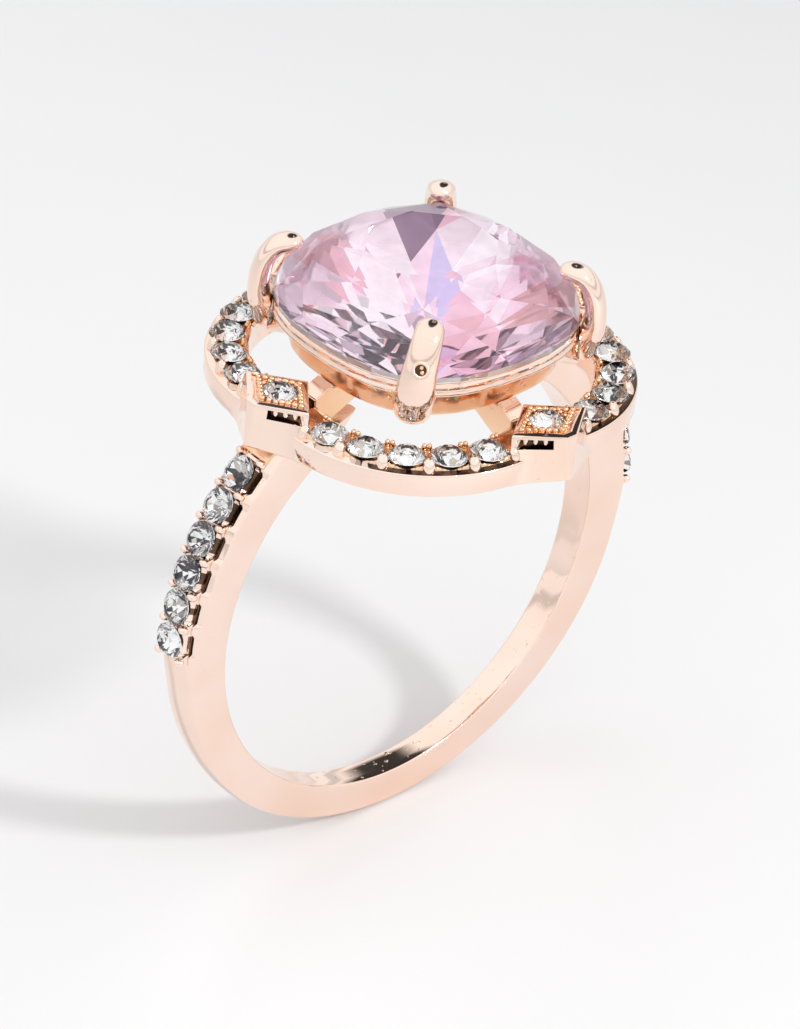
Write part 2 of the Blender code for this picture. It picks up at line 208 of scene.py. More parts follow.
# Bridges, gallery, rail
BRIDGE_SIDE = ((3.3, 8.88), (4.5, 8.3), (5.22, 8.3), (5.22, 9.36), (4.44, 9.74), (4.44, 9.62), (3.3, 9.62))
BRIDGE_HALF_WIDTH = 0.42
BRIDGE_ROUND = 0.04
BRIDGE_TOP = 0.6  # faces that look up more than this are polished
CUSHION_POWER = 2.57
SEAT_POINTS = 176
RAIL_CENTRE = (4.84, 10.86)
RAIL_ROUND = 0.15
RAIL_ARC = (-120.0, 30.0)
RAIL_STEPS = 10
RAIL_TOP = ((4.95, 11.0), (4.985, 11.12), (4.96, 11.22), (4.9, 11.26), (4.45, 10.99), (4.45, 10.72))
RAIL_LUMP = 0.015
GALLERY_OUTER = 4.42
GALLERY_INNER = 4.02
GALLERY_FOOT = 9.66
GALLERY_TOP = 10.64
GALLERY_SECTION = (
    (GALLERY_INNER, GALLERY_FOOT + 0.05), (GALLERY_INNER + 0.05, GALLERY_FOOT),
    (GALLERY_OUTER - 0.08, GALLERY_FOOT), (GALLERY_OUTER - 0.02, GALLERY_FOOT + 0.04),
    (GALLERY_OUTER, GALLERY_FOOT + 0.12), (GALLERY_OUTER, GALLERY_TOP - 0.3),
    (GALLERY_OUTER, GALLERY_TOP), (GALLERY_INNER, GALLERY_TOP),
)
GALLERY_LUMP = 0.03
LUMP_SCALE = 2.2
# Half-width that metal has to keep clear of, by height: rail, girdle and crown
SEAT_CLEARANCE = (
    (4.46, 10.6), (5.02, 10.64), (5.03, 11.1), (5.03, 11.56), (4.91, 12.06), (4.40, 12.86), (3.66, 13.38),
)

# Claws: rings up the claw as (distance from the Z axis, height, tangential and radial half-sizes)
CLAW_RINGS = (
    (5.66, 9.93, 0.16, 0.12), (5.64, 9.98, 0.38, 0.30), (5.62, 10.12, 0.56, 0.44),
    (5.62, 10.35, 0.64, 0.50), (5.66, 10.62, 0.67, 0.52), (5.84, 11.0, 0.69, 0.46),
    (5.92, 11.5, 0.66, 0.40), (5.86, 12.1, 0.60, 0.38), (5.68, 12.66, 0.56, 0.36),
    (5.36, 13.08, 0.53, 0.35), (4.98, 13.24, 0.49, 0.33), (4.66, 13.22, 0.38, 0.26),
    (4.50, 13.17, 0.16, 0.12),
)
CLAW_SIDES = 28
CLAW_FINE = 5
FRONT_CLAW_LEAN = 0.33
FOOT_BEADS = ((-0.2, 9.96), (0.0, 9.9), (0.2, 9.96))
FOOT_BEAD_REACH = 5.60
FOOT_BEAD_SIZE = (0.1, 0.1, 0.09)
# The lug that joins a claw to the gallery: a half-round block with a rounded face
LUG_RINGS = ((4.5, 0.0), (5.44, 0.0), (5.50, 0.03), (5.52, 0.08), (5.5, 0.13), (5.38, 0.17))
LUG_HALF_WIDTH = 0.66
LUG_DROP = 0.62
LUG_TOP = 10.9
LUG_MIDDLE = 10.3
LUG_STEPS = 14
# The casting flaw near the tip of the front claw
PIT_PLACE = (6.2, 0.18, 12.3)
PIT_TILT = 70.0
PIT_SIZE = (0.24, 0.24, 0.06)
PIT_RING = 0.25
PIT_BEADS = 24
PIT_BEAD = 0.075
PIT_GRAIN = 0.08
PIT_GRAIN_PLACE = (0.09, 0.03)
PIT_GRAIN_ANGLES = (0.6, 2.9)

# Centre stone: half-width, height, facets round the ring and the ring's turn in facet steps
CROWN_RINGS = (
    (2.35, 13.72, 8, 0.5), (3.62, 13.32, 8, 0.0), (4.42, 12.74, 8, 0.5), (4.90, 12.02, 16, 0.5),
    (5.00, 11.52, 32, 0.5), (4.97, 11.32, 32, 0.5),
)
PAVILION_RINGS = ((4.5, 11.06, 8, 0.5), (3.3, 10.42, 8, 0.0), (1.7, 9.62, 8, 0.5))
PAVILION_JITTER = 0.2
PAVILION_DROP = 0.04
CULET = (0.15, 0.25, 9.0)
FOIL_NORMAL = -0.3  # faces that look down more than this are foiled
BAND_TOP = 11.54
STONE_SEED = 3
# Painted reflections: foil tones that stand in for bright and dark facet reflections, as (X, Y, reach, foil)
PAINTED_REFLECTIONS = (
    (2.4, 3.0, 1.1, MAUVE), (-3.4, 2.2, 0.8, MAUVE), (1.8, 0.9, 0.8, LILAC), (-3.4, -1.9, 1.1, SALMON),
    (-1.9, -3.4, 0.9, SALMON), (3.7, -2.0, 0.8, SALMON), (-1.5, 1.5, 1.7, WHITE), (3.6, 1.2, 0.8, WHITE),
)

# Small stones: rings of points for a girdle of radius 1, as (radius, height, points, turn in steps)
BRILLIANT_RINGS = (
    (0.56, 0.40, 8, 0.5), (0.80, 0.23, 8, 0.0), (1.0, 0.03, 16, 0.0), (1.0, -0.03, 16, 0.0),
    (0.42, -0.56, 8, 0.5),
)
BRILLIANT_CULET = -0.84
BRILLIANT_FOIL_NORMAL = -0.2
BRILLIANT_TILT = 4.0
BRILLIANT_SEED = 7

# Camera: where it stands from the finger hole, and how it is rolled and shifted
CAMERA_AZIMUTH = -43.4215
CAMERA_ELEVATION = 33.7775
CAMERA_ROLL = 5.2918
CAMERA_DISTANCE = 131.053
SENSOR = 36.0
LENS = 124.67
SHIFT = (-0.00173, 0.05612)

# Noise scales, in features to the metre (to a unit of the normal for the facets' tones)
DRIFT_SCALE = 260.0
POLISH_SCALE = 900.0
PEEL_SCALE = 1500.0
PIT_SCALE = 4200.0
CLOUD_SCALE = 350.0
TONE_SCALE = 7.0
HAZE_SCALE = 1100.0
GRIT_SCALE = 9000.0
FIBRE_SCALE = 60.0
PEEL_DEPTH = 0.02
PIT_DEPTH = 0.03
GRIT_DEPTH = 0.02

# Studio
FLOOR_Z = -10.2
FLOOR_SIZE = 1500.0
FLOOR_PAPER = ((0.3, (0.79, 0.79, 0.80)), (0.7, (0.80, 0.80, 0.805)))
FLOOR_PAINTED_FALLOFF = ((0.005, 1.0), (0.07, 0.88))  # painted shade, darker towards +X: (X in metres, brightness)
SKY_BANDS = ((0.0, 0.95), (0.13, 0.95), (0.16, 0.65), (0.22, 0.65), (0.28, 1.0), (1.0, 1.08))
SKY_STRENGTH = 1.05
DARK_CARD = Vector((0.62, 0.42, 0.80)).normalized()
CARD_HALF_WIDTH = 0.31
CARD_HALF_HEIGHT = 0.52
CARD_EDGE = ((0.75, 0.04), (1.02, 1.0))
KEY_TOWARD = Vector((0.26, -0.71, 0.65)).normalized()
KEY_DISTANCE = 0.25
KEY_SIZE = 0.036
KEY_POWER = 0.24


# ---------------------------------------------------------------- meshes

def new_piece(name, shape, materials, replaced, sharp=SHARP_ANGLE):
    """Turn a bmesh drawn in millimetres into a piece that rides on the ring and stands for CAD nodes."""
    bmesh.ops.scale(shape, vec=(MM, MM, MM), verts=shape.verts)
    mesh = bpy.data.meshes.new(name)
    shape.to_mesh(mesh)
    shape.free()
    for material in materials:
        mesh.materials.append(material)
    if sharp:
        mesh.shade_smooth()
        mesh.set_sharp_from_angle(angle=math.radians(sharp))
    piece = bpy.data.objects.new(name, mesh)
    bpy.context.scene.collection.objects.link(piece)
    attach(piece, "root")
    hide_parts(*replaced)


def turn(degrees):
    return Matrix.Rotation(math.radians(degrees), 4, "Z")


def step(low, high, value):
    """0 below low, 1 above high and a smooth rise between them."""
    part = min(1.0, max(0.0, (value - low) / (high - low)))
    return part * part * (3.0 - 2.0 * part)


def skin(shape, rings, closed=False):
    """Join rings of equal length with quads, and cap both ends unless the skin closes on itself."""
    loops = [[shape.verts.new(point) for point in ring] for ring in rings]
    pairs = list(zip(loops, loops[1:]))
    if closed:
        pairs.append((loops[-1], loops[0]))
    faces = []
    for low, high in pairs:
        for i in range(len(low)):
            j = (i + 1) % len(low)
            faces.append(shape.faces.new((low[i], low[j], high[j], high[i])))
    if not closed:
        faces.append(shape.faces.new(list(reversed(loops[0]))))
        faces.append(shape.faces.new(loops[-1]))
    bmesh.ops.recalc_face_normals(shape, faces=faces)


def bead(shape, place, radii, material=BRIGHT):
    """Add an ellipsoid to a shape: prongs, milgrain and casting beads."""
    made = bmesh.ops.create_uvsphere(
        shape, u_segments=12, v_segments=8, radius=1.0, matrix=place @ Matrix.Diagonal((*radii, 1.0)))
    for vert in made["verts"]:
        for face in vert.link_faces:
            face.material_index = material


def hull(points):
    shape = bmesh.new()
    for point in points:
        shape.verts.new(point)
    made = bmesh.ops.convex_hull(shape, input=shape.verts)
    stray = [item for item in made["geom_interior"] if isinstance(item, bmesh.types.BMVert)]
    bmesh.ops.delete(shape, geom=stray, context="VERTS")
    bmesh.ops.dissolve_limit(shape, angle_limit=math.radians(1.0), verts=shape.verts, edges=shape.edges)
    bmesh.ops.recalc_face_normals(shape, faces=shape.faces)
    return shape


def cushion_point(half_width, angle, height):
    across, along = abs(math.cos(angle)), abs(math.sin(angle))
    reach = half_width / (across**CUSHION_POWER + along**CUSHION_POWER) ** (1.0 / CUSHION_POWER)
    return Vector((reach * math.cos(angle), reach * math.sin(angle), height))


def seat_height(girdle, away):
    """Height of a small stone's conical seat at a distance from the stone's axis."""
    return girdle - SEAT_DROP - SEAT_SLOPE * (SMALL_STONE_RADIUS - away)


def between(table, value):
    """Read a list of (result, key) rows with rising keys at a value, in straight lines."""
    for (low, start), (high, end) in zip(table, table[1:]):
        if value <= end:
            part = max(0.0, (value - start) / (end - start))
            return low + (high - low) * part
    return table[-1][0]


def finer(rows, count):
    """Catmull-Rom points through rows of numbers, count to each span."""
    rows = [rows[0]] + list(rows) + [rows[-1]]
    result = []
    for a, b, c, d in zip(rows, rows[1:], rows[2:], rows[3:]):
        for i in range(count):
            t = i / count
            result.append(tuple(
                0.5 * (2 * q + (r - p) * t + (2 * p - 5 * q + 4 * r - s) * t * t
                       + (3 * q - p - 3 * r + s) * t**3)
                for p, q, r, s in zip(a, b, c, d)))
    result.append(tuple(rows[-1]))
    return result


# ---------------------------------------------------------------- materials

def add_node(tree, kind, inputs=None, **settings):
    """Add a shader node, set its properties, and give each input a value or a link."""
    node = tree.nodes.new("ShaderNode" + kind)
    for name, value in settings.items():
        setattr(node, name, value)
    for name, value in (inputs or {}).items():
        if isinstance(value, bpy.types.NodeSocket):
            tree.links.new(value, node.inputs[name])
        else:
            node.inputs[name].default_value = value
    return node


def new_material(name):
    """A material with its node tree, its Principled shader and its texture coordinates."""
    material = bpy.data.materials.new(name)
    material.use_nodes = True
    tree = material.node_tree
    return material, tree, tree.nodes["Principled BSDF"], add_node(tree, "TexCoord")


def add_noise(tree, where, scale, detail):
    node = add_node(tree, "TexNoise", {"Scale": scale, "Detail": detail, "Vector": where})
    return node.outputs["Fac"]


def add_ramp(tree, source, rows):
    """A colour ramp of (place, colour or grey level) rows."""
    node = add_node(tree, "ValToRGB", {"Fac": source})
    ramp = node.color_ramp
    while len(ramp.elements) < len(rows):
        ramp.elements.new(0.5)
    for element, (place, color) in zip(ramp.elements, rows):
        element.position = place
        element.color = (color, color, color, 1.0) if isinstance(color, float) else (*color, 1.0)
    return node.outputs["Color"]


def add_product(tree, first, second):
    """Multiply two colours: sockets 6 and 7 of a Mix node are its colours, and 2 is the result."""
    inputs = {"Factor": 1.0, 6: first, 7: second}
    return add_node(tree, "Mix", inputs, data_type="RGBA", blend_type="MULTIPLY").outputs[2]


def add_bump(tree, height, strength, depth, under=None):
    """Bump of a depth in millimetres, on top of another bump's normal if there is one."""
    inputs = {"Strength": strength, "Distance": depth * MM, "Height": height}
    if under:
        inputs["Normal"] = under
    return add_node(tree, "Bump", inputs).outputs["Normal"]


def make_gold(name, pale, deep, rough, rough_spread, orange_peel, pits):
    """Rose-gold plate: slow colour drift, uneven polish, a faint orange peel and small casting pits."""
    material, tree, shader, where = new_material(name)
    spot = where.outputs["Object"]
    color = add_ramp(tree, add_noise(tree, spot, DRIFT_SCALE, 2.0), ((0.3, deep), (0.62, pale)))
    tree.links.new(color, shader.inputs["Base Color"])
    polish = add_noise(tree, spot, POLISH_SCALE, 4.0)
    sheen = add_ramp(tree, polish, ((0.35, rough), (0.75, rough + rough_spread)))
    tree.links.new(sheen, shader.inputs["Roughness"])
    peel = add_bump(tree, add_noise(tree, spot, PEEL_SCALE, 3.0), orange_peel, PEEL_DEPTH)
    pit = add_ramp(tree, add_noise(tree, spot, PIT_SCALE, 2.0), ((0.26, 0.0), (0.34, 1.0)))
    tree.links.new(add_bump(tree, pit, pits, PIT_DEPTH, peel), shader.inputs["Normal"])
    shader.inputs["Metallic"].default_value = 1.0
    return material


def make_glass(name, tint, ior):
    """Cut crystal: clear glass with a trace of cloud in its tint."""
    material, tree, shader, where = new_material(name)
    dim = tuple(0.97 * channel for channel in tint)
    cloud = add_noise(tree, where.outputs["Object"], CLOUD_SCALE, 1.0)
    tree.links.new(add_ramp(tree, cloud, ((0.35, dim), (0.65, tint))), shader.inputs["Base Color"])
    shader.inputs["Transmission Weight"].default_value = 1.0
    shader.inputs["Roughness"].default_value = 0.0
    shader.inputs["IOR"].default_value = ior
    return material


def make_foil(name, tones, rough, grit, metal=1.0, edge_metal=None):
    """The mirror foil that backs a stone: each facet takes its tone from the way it faces, painted lighter or
    darker to stand in for what the facet reflects.
    """
    material, tree, shader, where = new_material(name)
    spot = where.outputs["Object"]
    tone = add_ramp(tree, add_noise(tree, where.outputs["Normal"], TONE_SCALE, 0.0), tones)
    haze = add_ramp(tree, add_noise(tree, spot, HAZE_SCALE, 3.0), ((0.32, 0.88), (0.6, 1.0)))
    tree.links.new(add_product(tree, tone, haze), shader.inputs["Base Color"])
    grain = add_bump(tree, add_noise(tree, spot, GRIT_SCALE, 2.0), grit, GRIT_DEPTH)
    tree.links.new(grain, shader.inputs["Normal"])
    shader.inputs["Roughness"].default_value = rough
    shader.inputs["Metallic"].default_value = metal
    if edge_metal is not None:
        # Distance from the stone's axis in centimetres, where the foil turns less like a mirror
        flat = add_node(tree, "VectorMath", {0: spot, 1: (100.0, 100.0, 0.0)}, operation="MULTIPLY")
        reach = add_node(tree, "VectorMath", {0: flat.outputs["Vector"]}, operation="LENGTH")
        share = add_ramp(tree, reach.outputs["Value"], ((0.24, metal), (0.46, edge_metal)))
        tree.links.new(share, shader.inputs["Metallic"])
    return material


POLISHED = make_gold("rose_gold_polished", (0.98, 0.78, 0.675), (0.95, 0.71, 0.585), 0.06, 0.06, 0.08, 0.35)
CAST = make_gold("rose_gold_cast", (0.96, 0.66, 0.45), (0.88, 0.50, 0.28), 0.12, 0.16, 0.7, 0.4)
# Near-black gold: painted shade with some tarnish in pockets, scoops, recesses and the pit, and a painted
# dark reflection on the front ledges
SHADE_AND_TARNISH_GOLD = make_gold("rose_gold_painted_shade_and_tarnish", (0.17, 0.10, 0.065), (0.06, 0.035, 0.022), 0.16, 0.2, 0.6, 0.6)
PINK = make_glass("pink_crystal", (1.0, 0.90, 0.965), 1.45)
# The pink foil's colour, spread per facet from deep to pale as painted reflections
PINK_TONES = (
    (0.36, (0.90, 0.56, 0.64)), (0.40, (0.92, 0.58, 0.68)), (0.42, (0.98, 0.75, 0.87)),
    (0.50, (0.98, 0.80, 0.91)), (0.52, (1.0, 0.90, 0.97)),
)
PINK_FOIL = make_foil("pink_foil", PINK_TONES, 0.02, 0.02, 0.92, 0.3)
# Foils for the painted reflections: white for bright ones, mauve for dark ones, lilac and salmon for coloured
# ones
WHITE_FOIL = make_foil("white_foil", ((0.3, (1.0, 0.93, 0.98)), (0.6, (1.0, 0.98, 1.0))), 0.02, 0.02, 0.95)
MAUVE_FOIL = make_foil("mauve_foil", ((0.3, (0.20, 0.14, 0.22)), (0.6, (0.36, 0.25, 0.35))), 0.05, 0.02, 0.7)
LILAC_FOIL = make_foil("lilac_foil", ((0.3, (0.62, 0.55, 0.92)), (0.6, (0.74, 0.68, 0.97))), 0.03, 0.02, 0.8)
SALMON_TONES = ((0.3, (0.84, 0.48, 0.50)), (0.6, (0.97, 0.66, 0.68)))
SALMON_FOIL = make_foil("salmon_foil", SALMON_TONES, 0.05, 0.02, 0.6)
FOIL_BAND = make_foil("foil_band", ((0.35, (0.6, 0.58, 0.58)), (0.6, (0.9, 0.9, 0.92))), 0.3, 0.9)
CLEAR = make_glass("clear_crystal", (0.98, 0.98, 0.98), 1.56)
# The clear foil's silver, spread per facet from near-black to white as painted reflections
CLEAR_TONES = (
    (0.35, (0.05, 0.05, 0.06)), (0.37, (0.50, 0.45, 0.40)), (0.41, (0.65, 0.60, 0.55)),
    (0.43, (0.98, 0.98, 0.99)),
)
CLEAR_FOIL = make_foil("clear_foil", CLEAR_TONES, 0.03, 0.04, 0.93)
METALS = [POLISHED, CAST, SHADE_AND_TARNISH_GOLD]


# ---------------------------------------------------------------- shank

def hoop_widths(angle):
    """Rim half-width, bore half-width, outer radius, bevel and angle on the left half of the hoop.

    Angles run from +X towards +Z, in degrees, and the right half mirrors the left.
    """
    radians = math.radians(angle)
    height = (1.0 + math.sin(radians)) / 2.0
    around = (MIRROR - angle if math.cos(radians) > 0 else angle) % 360.0
    swell = step(0.0, 1.0, (SWELL_START - around) / (SWELL_START - SWELL_FULL))
    outer = HOOP_RADIUS_BOTTOM + HOOP_RADIUS_GROWTH * height + SHOULDER_SWELL_RADIUS * swell
    rise = max(0.0, height - FLAT_FOOT)
    bore = sum(term * rise**power for power, term in enumerate(BORE_HALF_WIDTH))
    rim = sum(term * rise**power for power, term in enumerate(RIM_HALF_WIDTH)) + SHOULDER_SWELL_WIDTH * swell
    if math.sin(radians) > 0:
        taper = (abs(math.cos(radians)) * BORE_RADIUS - ARM_TAPER[0]) / (ARM_TAPER[1] - ARM_TAPER[0])
        bore *= min(1.0, taper)
        rim *= min(1.0, taper)
    bevel = min(ARRIS + (SHOULDER_BEVEL - ARRIS) * swell, 0.5 * rim)
    return rim, bore, outer, bevel, around


def hoop_ring(angle):
    """One section of the hoop: bore, rounded bore edges, flat sides, bevels, and a dome or stone seats."""
    rim, bore, outer, bevel, around = hoop_widths(angle)
    along = (around - SHOULDER_FIRST) / SHOULDER_PITCH
    last = SHOULDER_STONES - 1
    start, end = -ROW_MARGIN, last + ROW_MARGIN
    seated = step(start - ROW_FADE, start + ROW_FADE, along)
    seated *= 1.0 - step(end - ROW_FADE, end + ROW_FADE, along)
    nearest = min(max(round(along), 0), last)
    scoop = 1.0 - step(SCOOP_HALF - SCOOP_SOFT, SCOOP_HALF + SCOOP_SOFT, abs(along - nearest))
    dip = SCOOP_DIP * scoop * seated
    aside = SCOOP_SPREAD * dip
    lip = rim - bevel

    half = [(BORE_RADIUS, 0.0), (BORE_RADIUS, (bore - BORE_ROUND) * 0.5)]
    for k in range(BORE_ROUND_STEPS + 1):
        bend = math.radians(90.0 * k / BORE_ROUND_STEPS)
        up, inward = BORE_ROUND * (1.0 - math.cos(bend)), BORE_ROUND * (1.0 - math.sin(bend))
        half.append((BORE_RADIUS + up, bore - inward))
    half += [(outer - bevel + up, rim) for up in BEVEL_SUPPORT]
    half.append((outer - bevel + BEVEL_CORNER - aside, rim - BEVEL_CORNER))
    half += [(outer - dip + up, lip + out + aside) for up, out in BEVEL_TOP]
    for row, share in enumerate(CROWN_SHARES):
        y = lip * share
        plain = outer + DOME_RISE * (1.0 - (y / rim) ** 2)
        away = math.hypot(y, math.radians((along - nearest) * SHOULDER_PITCH) * SHOULDER_GIRDLE)
        cut = min(SHOULDER_WEB, max(seat_height(SHOULDER_GIRDLE, away), SHOULDER_POCKET))
        if row == 0:
            cut = outer - SEAT_LIP - dip
        elif row < SCOOP_ROWS:
            cut -= SCOOP_DEPTH * scoop
        half.append((plain + (cut - plain) * seated, y))
    crown = [half.pop()]
    mirrored = [(radius, -y) for radius, y in reversed(half[1:])]
    radians = math.radians(angle)
    return [(r * math.cos(radians), y, r * math.sin(radians)) for r, y in half + crown + mirrored]


def hoop_angles():
    """Angles round the hoop, close together where the shoulder stones sit."""
    first = SHOULDER_FIRST - (ROW_MARGIN + FINE_MARGIN) * SHOULDER_PITCH
    last = SHOULDER_FIRST + (SHOULDER_STONES - 1 + ROW_MARGIN + FINE_MARGIN) * SHOULDER_PITCH
    spans = (
        (ARM_END, first, ARM_STEPS), (first, last, ROW_STEPS), (last, MIRROR - last, FOOT_STEPS),
        (MIRROR - last, MIRROR - first, ROW_STEPS), (MIRROR - first, MIRROR - ARM_END, ARM_STEPS),
    )
    angles = [start + (end - start) * i / count for start, end, count in spans for i in range(count)]
    return angles + [MIRROR - ARM_END]


def shoulder_frame(side, along, radius, y=0.0):
    """The place of something on a shoulder: its Z axis points out of the hoop."""
    angle = math.radians(SHOULDER_FIRST + SHOULDER_PITCH * along)
    if side == "right":
        angle = math.pi - angle
    centre = Vector((math.cos(angle) * radius, y, math.sin(angle) * radius))
    return Matrix.Translation(centre) @ Matrix.Rotation(math.pi / 2.0 - angle, 4, "Y")


def build_shank():
    shape = bmesh.new()
    skin(shape, [hoop_ring(angle) for angle in hoop_angles()])
    for face in shape.faces:
        x, y, z = face.calc_center_median()
        radius = math.hypot(x, z)
        rim, _, outer, bevel, around = hoop_widths(math.degrees(math.atan2(z, x)) % 360.0)
        along = (around - SHOULDER_FIRST) / SHOULDER_PITCH
        if abs(y) > rim - bevel or radius < BORE_RADIUS + BORE_FACES:
            continue
        if along < -ROW_MARGIN:
            face.material_index = ROUGH
        # Pocket and scoop faces in the stone row get painted shade, with some tarnish
        elif along < SHOULDER_STONES - 1 + ROW_MARGIN and radius < outer - POCKET_SKIN:
            face.material_index = PAINTED_SHADE_AND_TARNISH
    geometry = shape.verts[:] + shape.edges[:] + shape.faces[:]
    under_halo = (0.0, 0.0, HALO_BOTTOM - GAP)
    cut = bmesh.ops.bisect_plane(
        shape, geom=geometry, plane_co=under_halo, plane_no=(0.0, 0.0, 1.0), clear_outer=True)
    edges = [item for item in cut["geom_cut"] if isinstance(item, bmesh.types.BMEdge)]
    bmesh.ops.holes_fill(shape, edges=edges)
    radius, out = PRONG_PLACE
    for side in ("left", "right"):
        for i in range(SHOULDER_STONES + 1):
            for sign in (-1.0, 1.0):
                place = shoulder_frame(side, i - 0.5, radius, sign * out)
                bead(shape, place @ Matrix.Rotation(sign * PRONG_LEAN, 4, "X"), PRONG_SIZE)
    new_piece("polished_shank", shape, METALS, ["shank"])


# ---------------------------------------------------------------- halo

def lobe_ring(angle):
    """One section of a lobe: plain wall, ledge, scalloped rim, stone pockets and inner rim."""
    along = angle / LOBE_STONE_PITCH
    nearest = min(max(round(along), -LOBE_LAST), LOBE_LAST)
    post = step(POST_START, POST_FULL, abs(along - nearest))
    rim = RIM_LOW + (RIM_HIGH - RIM_LOW) * post

    def top(radius, limit):
        """Height of the metal: the limit, or lower where a stone's pocket is cut into it."""
        around = math.radians((along - nearest) * LOBE_STONE_PITCH) * radius
        away = math.hypot(radius - LOBE_STONE_ARC, around)
        return min(limit, max(seat_height(LOBE_GIRDLE, away), LOBE_POCKET))

    section = [(LOBE_INNER + 0.05, HALO_BOTTOM)]
    section += [(LOBE_OUTER - inward, height) for inward, height in LOBE_WALL]
    for inward, drop in LOBE_RIM:
        section.append((LOBE_OUTER - inward, top(LOBE_OUTER - inward, rim - drop)))
    start, end = LOBE_OUTER - WEB_FROM_OUTER, LOBE_INNER + WEB_FROM_INNER
    for k in range(WEB_STEPS + 1):
        radius = start - (start - end) * k / WEB_STEPS
        section.append((radius, top(radius, WEB_TOP + POST_RISE * post)))
    section += [(LOBE_INNER + 0.04, rim - 0.02), (LOBE_INNER, rim - 0.07), (LOBE_INNER, HALO_BOTTOM + 0.05)]
    radians = math.radians(angle)
    return [(LOBE_CENTRE + r * math.cos(radians), r * math.sin(radians), z) for r, z in section]


def lobe_frame(along, radius, height):
    """The place of something on a lobe that lies on +X, counted in stones from the lobe's middle."""
    angle = along * LOBE_STONE_PITCH
    x, y = radius * math.cos(math.radians(angle)), radius * math.sin(math.radians(angle))
    return Matrix.Translation((LOBE_CENTRE + x, y, height)) @ turn(angle)


def build_lobe(corner, diagonal):
    shape = bmesh.new()
    angles = [LOBE_HALF_ANGLE * (2.0 * i / LOBE_STEPS - 1.0) for i in range(LOBE_STEPS + 1)]
    skin(shape, [lobe_ring(angle) for angle in angles])
    ledge_way = LEDGE_SHADE.get(corner)
    for face in shape.faces:
        x, y, z = face.calc_center_median()
        reach = math.hypot(x - LOBE_CENTRE, y)
        on_ledge = z > LOBE_LEDGE - 0.01 and reach > LOBE_OUTER - LEDGE_WIDTH
        # Pocket floors between the stones get painted shade with some tarnish; above them the metal is rough
        # cast
        if z > PAINTED_SHADE_FROM and LOBE_INNER + 0.03 < reach < LOBE_OUTER - LEDGE_WIDTH:
            face.material_index = PAINTED_SHADE_AND_TARNISH if z < ROUGH_FROM else ROUGH
        # A painted dark reflection on the front lobes' ledges, from a point along each lobe
        elif on_ledge and ledge_way and ledge_way * y > LEDGE_SHADE_FROM:
            face.material_index = PAINTED_SHADE_AND_TARNISH
    lean = Matrix.Rotation(TAB_LEAN, 4, "Y")
    for k in range(LOBE_STONES + 1):
        along = k - LOBE_LAST - 0.5
        bead(shape, lobe_frame(along, *TAB_PLACE) @ lean, TAB_SIZE)
        for shift in (-INNER_BEAD_SPREAD, INNER_BEAD_SPREAD):
            bead(shape, lobe_frame(along + shift, *INNER_BEAD_PLACE), INNER_BEAD_SIZE, ROUGH)
    bmesh.ops.transform(shape, matrix=turn(diagonal), verts=shape.verts)
    new_piece("lobe_" + corner, shape, METALS, ["halo_lobe_" + corner])


def panel_outline(share, grow, recess):
    """The panel's closed outline part of the way from foot (0) to top (1), grown from its middle.

    A recess is a depth, with the sign of the outer edge that it's cut into.
    """
    half = [tuple(f + (t - f) * share for f, t in zip(foot, top)) for foot, top in zip(PANEL_FOOT, PANEL_TOP)]
    whole = half + [(r, -t) for r, t in reversed(half[:-1])]
    ring = []
    for start, end in zip(whole, whole[1:] + whole[:1]):
        cut = min(start[0], end[0]) > RECESS_REACH and recess * start[1] > 0.0 and recess * end[1] > 0.0
        for k in range(PANEL_FINE):
            r, t = Vector(start).lerp(Vector(end), k / PANEL_FINE)
            away = Vector((r - PANEL_STONE_OUT, t))
            inset = 0.0
            if cut:
                inset = abs(recess) * step(*RECESS_START, abs(t)) * (1.0 - step(*RECESS_END, abs(t)))
            away *= 1.0 + (grow - inset) / away.length
            ring.append((PANEL_STONE_OUT + away.x, away.y))
    return ring


def panel_edge(offset):
    """Distance from the Z axis to a panel's outer top edge, at an offset along the tangent."""
    return EDGE_START[0] - (offset - EDGE_START[1]) * EDGE_SLOPE


def shade_recess(shape, way):
    """Paint the faces inside a panel's recess dark, as painted shade."""
    low, high = RECESS_FACES
    for face in shape.faces:
        middle = face.calc_center_median()
        if RECESS_LOW < middle.z < RECESS_HIGH and low < way * middle.y < high:
            if middle.x > RECESS_FACES_REACH and panel_edge(abs(middle.y)) - middle.x > RECESS_SKIN:
                face.material_index = PAINTED_SHADE_AND_TARNISH


